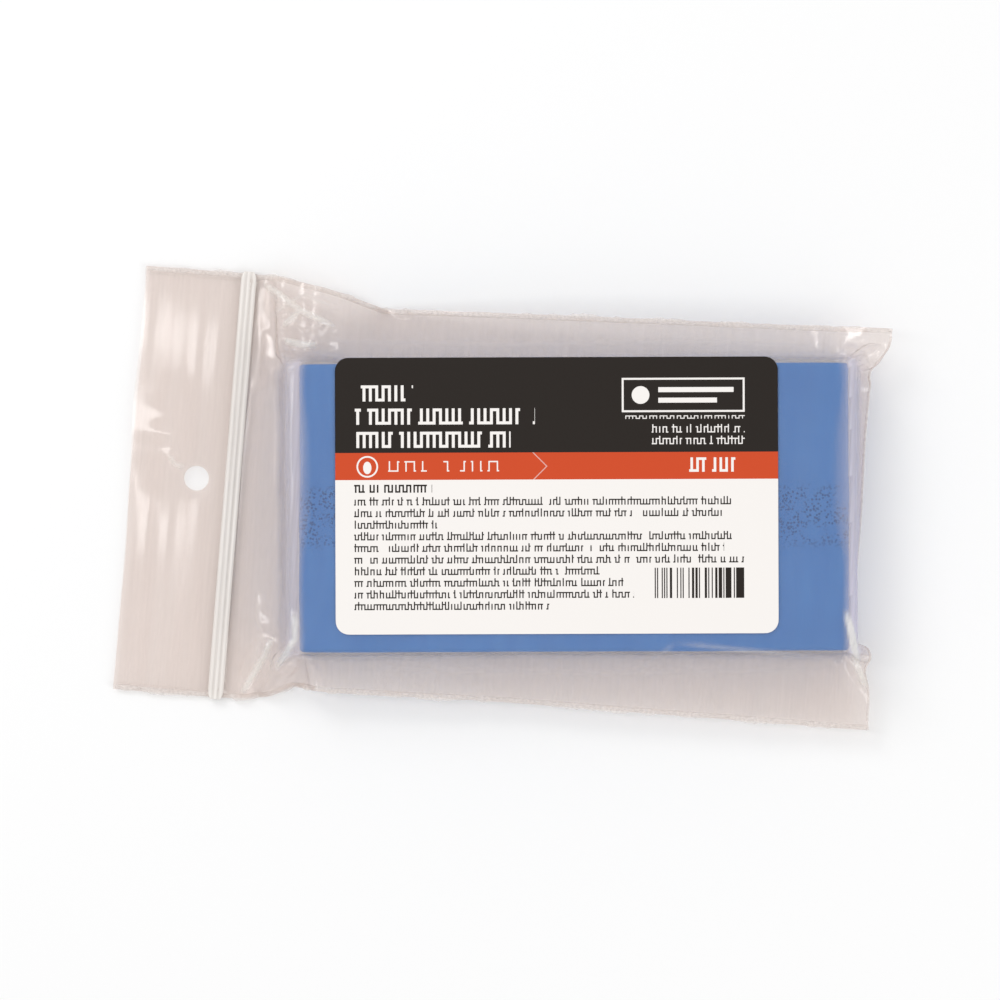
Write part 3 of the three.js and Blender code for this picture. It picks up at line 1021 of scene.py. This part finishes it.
def make_clay():
    """The pressed block, with soft edges and a few shallow dents."""
    half, edge = BAR_HALF, EDGE_ROUND
    near = edge * np.array([0, 0.2, 0.45, 0.72, 1.0])
    lines = []
    for h in half:
        inner = np.linspace(-h + edge, h - edge, max(4, int(h * 2)))
        lines.append(np.concatenate([-h + near[:-1], inner, (h - near[:-1])[::-1]]))
    points, faces, index = [], [], {}
    for axis in range(3):
        a, b = [k for k in range(3) if k != axis]
        for side in (-1, 1):
            face = np.zeros((len(lines[a]), len(lines[b]), 3))
            face[..., a], face[..., b] = grid(lines[a], lines[b])
            face[..., axis] = side * half[axis]
            rounded = np.round(face, 5).reshape(-1, 3)
            ids = np.array([index.setdefault(tuple(p), len(index)) for p in rounded])
            faces.extend(ids[grid_quads(*face.shape[:2])].tolist())
    points = np.array(list(index))
    core = np.clip(points, -half + edge, half - edge)
    out = points - core
    out /= np.linalg.norm(out, axis=1)[:, None]
    dent = 0.04 * (1 + lattice_noise(points[:, 0], points[:, 1] + 3 * points[:, 2], 21, 71))
    dent += 0.03 * (1 + lattice_noise(points[:, 0], points[:, 1] + 3 * points[:, 2], 6, 72))
    ends = np.clip((np.abs(points[:, 0]) - half[0] + 3) / 3, 0, 1)
    dent += 0.12 * ends * (1 + lattice_noise(points[:, 1], points[:, 2], 7, 73))
    sides = np.clip((np.abs(points[:, 1]) - half[1] + 2) / 2, 0, 1)
    dent += 0.05 * sides * (1 + lattice_noise(points[:, 0], points[:, 2], 9, 74))
    points = core + out * (edge - dent[:, None])
    x, y = in_bag(points[:, 0], points[:, 1], BAR_MIDDLE)
    z = BAR_MIDDLE[2] + points[:, 2]
    piece = new_piece("clay_block", np.stack([x, y, z], 1), faces, clay_material())
    smooth_solid(piece, 60)
    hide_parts("clay_bar")
    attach(piece, BAR)


def label_height(x, y):
    """Where the label lies on the film: over its small wrinkles, not in them."""
    quads = grid_quads(*front_sheet.shape[1:])
    tree = BVHTree.FromPolygons(front_sheet.reshape(3, -1).T.tolist(), quads.tolist())
    down = Vector((0, 0, -1))
    film = np.array([tree.ray_cast(Vector((a, b, 50)), down)[0][2] for a, b in zip(x.flat, y.flat)])
    film = film.reshape(x.shape) + FILM / 2 + LABEL_LIFT
    z = film.copy()
    for _ in range(LABEL_SMOOTHING):
        padded = np.pad(z, 1, mode="edge")
        z = (padded[:-2, 1:-1] + padded[2:, 1:-1] + padded[1:-1, :-2] + padded[1:-1, 2:]) / 4
        z = np.maximum(z, film)
    return z


def make_label():
    material = label_material()
    half_u, half_v = LABEL_LENGTH / 2, LABEL_WIDTH / 2
    u, v = grid(np.linspace(-half_u, half_u, 121), np.linspace(-half_v, half_v, 76))
    cu = np.abs(u) - half_u + LABEL_CORNER
    cv = np.abs(v) - half_v + LABEL_CORNER
    corner = (cu > 0) & (cv > 0)
    pull = np.where(corner, np.maximum(cu, cv) / np.maximum(np.hypot(cu, cv), 1e-6), 1)
    u = np.where(corner, np.sign(u) * (half_u - LABEL_CORNER + cu * pull), u)
    v = np.where(corner, np.sign(v) * (half_v - LABEL_CORNER + cv * pull), v)
    x, y = in_bag(u, v, LABEL_MIDDLE)
    z = label_height(x, y)
    faces = closed_skin(grid_quads(*u.shape), u.size)
    upper = np.stack([x, y, z + LABEL_THICK], -1).reshape(-1, 3)
    lower = np.stack([x, y, z], -1).reshape(-1, 3)
    plan = np.tile(np.stack([u, v], -1).reshape(-1, 2), (2, 1))
    for name, side in (("label_upper", 1), ("label_lower", -1)):
        piece = new_piece(name, np.concatenate([upper, lower]), faces, material)
        layer = piece.data.uv_layers.new(name="plan")
        loops = np.array([loop.vertex_index for loop in piece.data.loops])
        layer.data.foreach_set("uv", plan[loops].astype(np.float32).ravel())
        work = bmesh.new()
        work.from_mesh(piece.data)
        cut = bmesh.ops.bisect_plane(
            work,
            geom=work.verts[:] + work.edges[:] + work.faces[:],
            plane_co=(0, 0, 0),
            plane_no=(0, -side, 0),
            clear_outer=True,
        )
        rim = [e for e in cut["geom_cut"] if isinstance(e, bmesh.types.BMEdge)]
        bmesh.ops.edgeloop_fill(work, edges=rim)
        work.to_mesh(piece.data)
        work.free()
        smooth_solid(piece, 40)
        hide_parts("label")
        bend_with_mouth(piece)


melted = frosted_material("melted_film", (0.88, 0.83, 0.80, 1), 0.45, 0.25, 0.7)
zip_plastic = zip_material()
make_clay()
make_films()
make_welds(melted)
make_fold(melted)
make_zip(zip_plastic)
make_label()

# ---- Floor, light and camera ----------------------------------------------------------------

scene = bpy.context.scene
scene.view_settings.view_transform = "Standard"
scene.cycles.transparent_max_bounces = 32


def make_floor():
    """A plain pale floor, just under the film."""
    mesh = bpy.data.meshes.new("floor")
    size = 3.0
    corners = [(-size, -size, 0), (size, -size, 0), (size, size, 0), (-size, size, 0)]
    mesh.from_pydata(corners, [], [(0, 1, 2, 3)])
    floor = bpy.data.objects.new("floor", mesh)
    scene.collection.objects.link(floor)
    g = Nodes("floor")
    g.surface(Base_Color=(0.95, 0.95, 0.95, 1), Roughness=0.9, Specular_IOR_Level=0.1)
    mesh.materials.append(g.material)
    floor.location.z = -0.02 * MM


def area_light(name, place, size, power):
    """A white panel, aimed at the middle of the bag."""
    data = bpy.data.lights.new(name, "AREA")
    data.shape = "RECTANGLE"
    data.size, data.size_y = size
    data.energy = power
    light = bpy.data.objects.new(name, data)
    light.location = place
    light.rotation_euler = (-Vector(place)).to_track_quat("-Z", "Y").to_euler()
    scene.collection.objects.link(light)


make_floor()
area_light("key", (-0.55, 0.60, 0.60), (0.42, 0.42), 2.3)
area_light("fill", (0.7, -0.3, 0.5), (0.5, 0.5), 1.8)
area_light("strip", (-0.38, 0.05, 0.6), (0.08, 0.6), 0.6)
world = bpy.data.worlds.new("studio")
world.use_nodes = True
world.node_tree.nodes["Background"].inputs["Color"].default_value = (1, 1, 1, 1)
world.node_tree.nodes["Background"].inputs["Strength"].default_value = 0.72
scene.world = world

VIEW_WIDTH, VIEW_DISTANCE, VIEW_TURN = 0.182, 1.5, math.radians(4.6)
VIEW_TARGET = (-0.00125, 0.00127)
camera_data = bpy.data.cameras.new("camera")
camera_data.lens = camera_data.sensor_width * VIEW_DISTANCE / VIEW_WIDTH
camera_data.clip_start, camera_data.clip_end = 0.01, 10
camera = bpy.data.objects.new("camera", camera_data)
camera.location = (*VIEW_TARGET, VIEW_DISTANCE)
camera.rotation_euler = (0, 0, VIEW_TURN)
scene.collection.objects.link(camera)
scene.camera = camera
